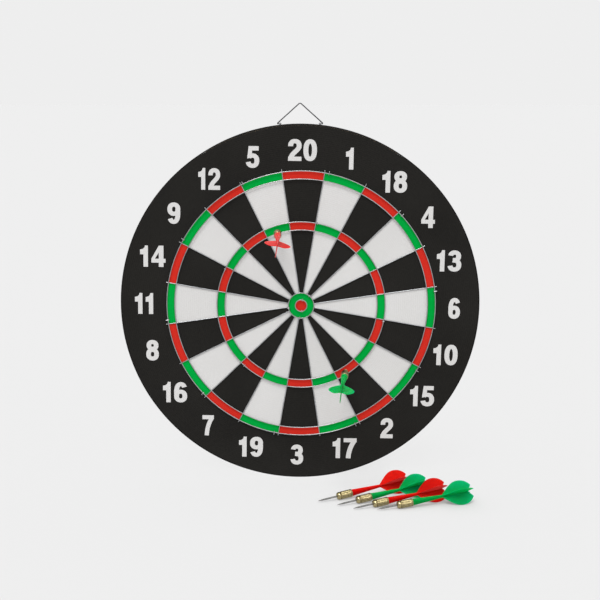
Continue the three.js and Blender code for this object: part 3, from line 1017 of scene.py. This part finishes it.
def shaft_mesh(dart):
    """The stem: a stud for the barrel, then a tapered shaft with four ribs in line with the fins."""
    start = dart.rear + 0.1 * MM
    neck = dart.tail - FIN_LENGTH + FIN_OVERLAP
    rows = [(STUD_RADIUS, start - STUD_LENGTH + 0.4 * MM, 0), (STUD_RADIUS, start, 0)]
    rows += [(SHAFT_RADIUS - 0.25 * MM, start, 0), (SHAFT_RADIUS, start + 0.25 * MM, 0)]
    rows.append((SHAFT_RADIUS, start + SHAFT_COLLAR, 0))
    for step in range(1, 13):
        t = step / 12
        radius = SHAFT_RADIUS + (NECK_RADIUS - SHAFT_RADIUS) * t
        flute = FLUTE_DEPTH * math.sin(math.pi * min(1, t * 1.15)) ** 0.6 if t < FLUTED_SHARE else NECK_FLUTE
        rows.append((radius, start + SHAFT_COLLAR + (neck - start - SHAFT_COLLAR) * t, flute))
    rows += [(1.25 * MM, neck + 8 * MM, 0), (1.0 * MM, neck + 20 * MM, 0)]
    rows += [(0.8 * MM, dart.tail - FIN_NOTCH - 1.5 * MM, 0), (0.3 * MM, dart.tail - FIN_NOTCH - 0.9 * MM, 0)]
    rings = []
    for radius, height, flute in rows:
        ring = []
        for angle in turns(40):
            size = radius * (1 - flute * (1 - math.cos(4 * angle)) / 2)
            ring.append(Vector((size * math.cos(angle), height, size * math.sin(angle))))
        rings.append(ring)
    bm = bmesh.new()
    skin(bm, rings)
    return to_mesh("dart_shaft", bm)


def fin_outline(half_span):
    """The edge of one fin from front to tail, as (distance from the axis, distance along it)."""
    root = NECK_RADIUS * 0.6
    widest = (half_span, FIN_WIDEST)
    tail = (TAIL_WIDTH * half_span, FIN_LENGTH)
    rise = (0.5 * half_span, 0.2 * FIN_LENGTH)
    front = curve((root, 0), rise, (half_span, 0.38 * FIN_LENGTH), widest, steps=16)
    fall = (0.78 * half_span, 0.92 * FIN_LENGTH)
    back = curve(widest, (half_span, 0.8 * FIN_LENGTH), fall, tail, steps=14)
    return front + back[1:]


def fin_plate_mesh(dart, across):
    """Two opposite fins as one plate, thickest at the axis, with round edges and a V in its tail."""
    outline = fin_outline(dart.half_span)
    start = dart.tail - FIN_LENGTH
    shares = [0, 0.15, 0.35, 0.6, 0.85, 0.97]
    rings = []
    for index, edge in enumerate(outline):
        spine = (FIN_LENGTH - FIN_NOTCH) * index / (len(outline) - 1)
        thin = 0.5 if index in (0, len(outline) - 1) else 1.0
        half = []
        for share in shares:
            thickness = (FIN_ROOT - FIN_THINNING * share) * thin
            half.append((edge.x * share, spine + (edge.y - spine) * share, thickness))
        rim = (edge.x, edge.y, 0)
        face = [(-x, y, z) for x, y, z in reversed(half[1:])] + half
        loop = [(-rim[0], rim[1], 0)] + face + [rim] + [(x, y, -z) for x, y, z in reversed(face)]
        if across == "x":
            rings.append([Vector((x, start + y, z)) for x, y, z in loop])
        else:
            rings.append([Vector((-z, start + y, x)) for x, y, z in loop])
    bm = bmesh.new()
    skin(bm, rings)
    return to_mesh("fin_plate", bm)


def crater_mesh(name):
    """The low torn lip of paper that a point pushes up round its hole."""
    columns = 30
    rows = ((1.28, 0.4), (1.3, -0.1), (1.45, -0.42), (1.75, -0.36), (2.2, -0.12), (2.5, 0.05), (2.2, 0.4))
    rings = []
    for angle in turns(columns):
        tear = 1 + 0.22 * math.sin(3 * angle + 1) + 0.3 * random.uniform(-1, 1)
        ring = []
        for radius, height in rows:
            lift = height * tear if height < 0 else height
            swell = 1 + 0.05 * math.sin(5 * angle) if radius > 1.5 else 1
            size = radius * swell * MM
            ring.append(Vector((size * math.cos(angle), lift * MM, size * math.sin(angle))))
        rings.append(ring)
    bm = bmesh.new()
    skin(bm, rings, wrap=True)
    return to_mesh(name, bm, sharp=60)


DRILL_LENGTH = 20 * MM  # from the tip to outside the face
DRILL_ROOM = 0.1 * MM


def drill_mesh(dart):
    """The hole a stuck dart leaves, as a solid in the board's frame."""
    room = POINT_RADIUS + DRILL_ROOM
    bm = bmesh.new()
    turned(bm, [(0, -MM), (room, -MM), (room, DRILL_LENGTH), (0, DRILL_LENGTH)], 24)
    mesh = to_mesh("drill", bm)
    mesh.transform(dart.matrix)
    return mesh


PLASTICS = {
    "stuck_dart_red": "red",
    "stuck_dart_green": "green",
    "loose_dart_1": "red",
    "loose_dart_2": "green",
    "loose_dart_3": "red",
    "loose_dart_4": "green",
}


def make_darts(darts):
    pattern = darts[0]
    point = point_mesh(pattern)
    barrel = barrel_mesh(pattern)
    plates = [fin_plate_mesh(pattern, "x"), fin_plate_mesh(pattern, "z")]
    flight = combined(shaft_mesh(pattern), plates, "UNION")
    for dart in darts:
        plastic = PLASTICS[dart.name]
        pieces = (
            ("steel_point", point, LOOKS["point"], "point_steel", "point"),
            ("knurled_barrel", barrel, LOOKS["brass"], "barrel_brass", "barrel"),
            ("moulded_flight", flight, LOOKS[f"{plastic}_plastic"], f"plastic_{plastic}", "flight"),
        )
        for suffix, mesh, look, slot, node in pieces:
            piece = place(f"{dart.name}_{suffix}", mesh.copy(), dart.matrix)
            dress(piece, look, slot, dart.name, f"{dart.name}_{node}")


def without_shadow(*pieces):
    """The board stands free of its ground: it throws no shade on the floor."""
    for piece in pieces:
        piece.visible_shadow = False
        piece.visible_diffuse = False


def make_board(stuck):
    edge_band()
    holes = [drill_mesh(dart) for dart in stuck]
    face = combined(sheet_mesh("printed_face", FACE_Y, SHEET_BACK_Y), holes, "DIFFERENCE")
    dress(place("printed_face", face), LOOKS["black"], "face_black", "board", "face_sheet")
    back_low, back_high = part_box("back_sheet")
    back = sheet_mesh("kraft_back", back_high.y, back_low.y)
    dress(place("kraft_back", back), LOOKS["back"], "back_paper", "board", "back_sheet")
    inks = (
        ("print_white", white_print(), "white", "print_white"),
        ("print_red", scoring_print("print_red", 0), "red", "print_red"),
        ("print_green", scoring_print("print_green", 1), "green", "print_green"),
        ("print_numbers", numbers_print(), "white", "print_white"),
    )
    for name, mesh, look, slot in inks:
        if name in ("print_red", "print_green"):
            mesh = combined(mesh, [drill_mesh(dart) for dart in stuck], "DIFFERENCE")
        dress(place(name, mesh), LOOKS[look], slot, "board")
    for dart in stuck:
        entry = dart.tip + dart.axis * ((FACE_Y - dart.tip.y) / dart.axis.y)
        piece = place(f"{dart.name}_puncture", crater_mesh("puncture"), Matrix.Translation(entry))
        dress(piece, LOOKS["core"], "wound_paper", "board")
    core = frame["nodes"]["board_core"]
    core.data.materials.clear()
    core.data.materials.append(LOOKS["core"])
    plates = ("edge_tape_band", "printed_face", "kraft_back", *(name for name, *_ in inks))
    without_shadow(core, *(bpy.data.objects[name] for name in plates))


# ---- Stage: floor, light and camera ----

BACKDROP = 0.856  # linear brightness of the pale surroundings
FLOOR_DIFFUSE = 0.38
FLOOR_GLOW = 0.241
FLOOR_HALF_SIZE = 40
ROOM_LOW, ROOM_HIGH = 0.2, 1.25  # brightness of the room low down and overhead
CAMERA_LENS = 69.36
CAMERA_SPOT = (0.0043, -1.4636, 0.268)
CAMERA_DOWN = 10.266  # degrees
CAMERA_LEFT = 0.174


def floor():
    bm = bmesh.new()
    size = FLOOR_HALF_SIZE
    for x, y in ((-size, -size), (size, -size), (size, size), (-size, size)):
        bm.verts.new((x, y, FLOOR_Z))
    bm.faces.new(bm.verts)
    look = Look("pale floor", Roughness=0.95, Specular_IOR_Level=0.0)
    look.shader.inputs["Base Color"].default_value = (FLOOR_DIFFUSE, FLOOR_DIFFUSE, FLOOR_DIFFUSE, 1)
    look.shader.inputs["Emission Color"].default_value = (1, 1, 1, 1)
    look.shader.inputs["Emission Strength"].default_value = FLOOR_GLOW
    stage = place("floor", to_mesh("floor", bm))
    stage.data.materials.append(look.material)


def sun(name, strength, softness, towards):
    light = bpy.data.lights.new(name, "SUN")
    light.energy = strength
    light.angle = math.radians(softness)
    lamp = bpy.data.objects.new(name, light)
    lamp.rotation_euler = Vector(towards).to_track_quat("-Z", "Y").to_euler()
    bpy.context.scene.collection.objects.link(lamp)


def surroundings():
    """A flat pale backdrop for the camera, and a softly graded room for light and reflections."""
    world = bpy.data.worlds.new("studio")
    bpy.context.scene.world = world
    world.use_nodes = True
    nodes, links = world.node_tree.nodes, world.node_tree.links
    nodes.clear()
    place_node = nodes.new("ShaderNodeTexCoord")
    split = nodes.new("ShaderNodeSeparateXYZ")
    grade = nodes.new("ShaderNodeMapRange")
    grade.inputs["From Min"].default_value = 0.1
    grade.inputs["From Max"].default_value = 0.65
    grade.inputs["To Min"].default_value = ROOM_LOW
    grade.inputs["To Max"].default_value = ROOM_HIGH
    room = nodes.new("ShaderNodeBackground")
    backdrop = nodes.new("ShaderNodeBackground")
    backdrop.inputs["Color"].default_value = (BACKDROP, BACKDROP, BACKDROP, 1)
    ray = nodes.new("ShaderNodeLightPath")
    choose = nodes.new("ShaderNodeMixShader")
    output = nodes.new("ShaderNodeOutputWorld")
    links.new(place_node.outputs["Generated"], split.inputs[0])
    links.new(split.outputs["Z"], grade.inputs["Value"])
    links.new(grade.outputs["Result"], room.inputs["Color"])
    links.new(ray.outputs["Is Camera Ray"], choose.inputs[0])
    links.new(room.outputs[0], choose.inputs[1])
    links.new(backdrop.outputs[0], choose.inputs[2])
    links.new(choose.outputs[0], output.inputs["Surface"])


def camera():
    """In front of the face and a little above, looking slightly down."""
    data = bpy.data.cameras.new("camera")
    data.sensor_width = 36
    data.lens = CAMERA_LENS
    data.clip_end = 200
    view = bpy.data.objects.new("camera", data)
    view.location = CAMERA_SPOT
    view.rotation_euler = (math.radians(90 - CAMERA_DOWN), 0, math.radians(CAMERA_LEFT))
    bpy.context.scene.collection.objects.link(view)
    bpy.context.scene.camera = view


camera()
surroundings()
sun("key", 1.9, 26, (0.2, 0.58, -1.0))
sun("fill", 0.63, 60, (-0.4, 0.8, -0.15))
floor()
bpy.context.scene.view_settings.view_transform = "Standard"

darts = [Dart(name) for name in PLASTICS]
make_board([dart for dart in darts if dart.name.startswith("stuck")])
ring_wires()
radial_wires()
welds()
ring_staples()
small_staples()
hanger()
make_darts(darts)
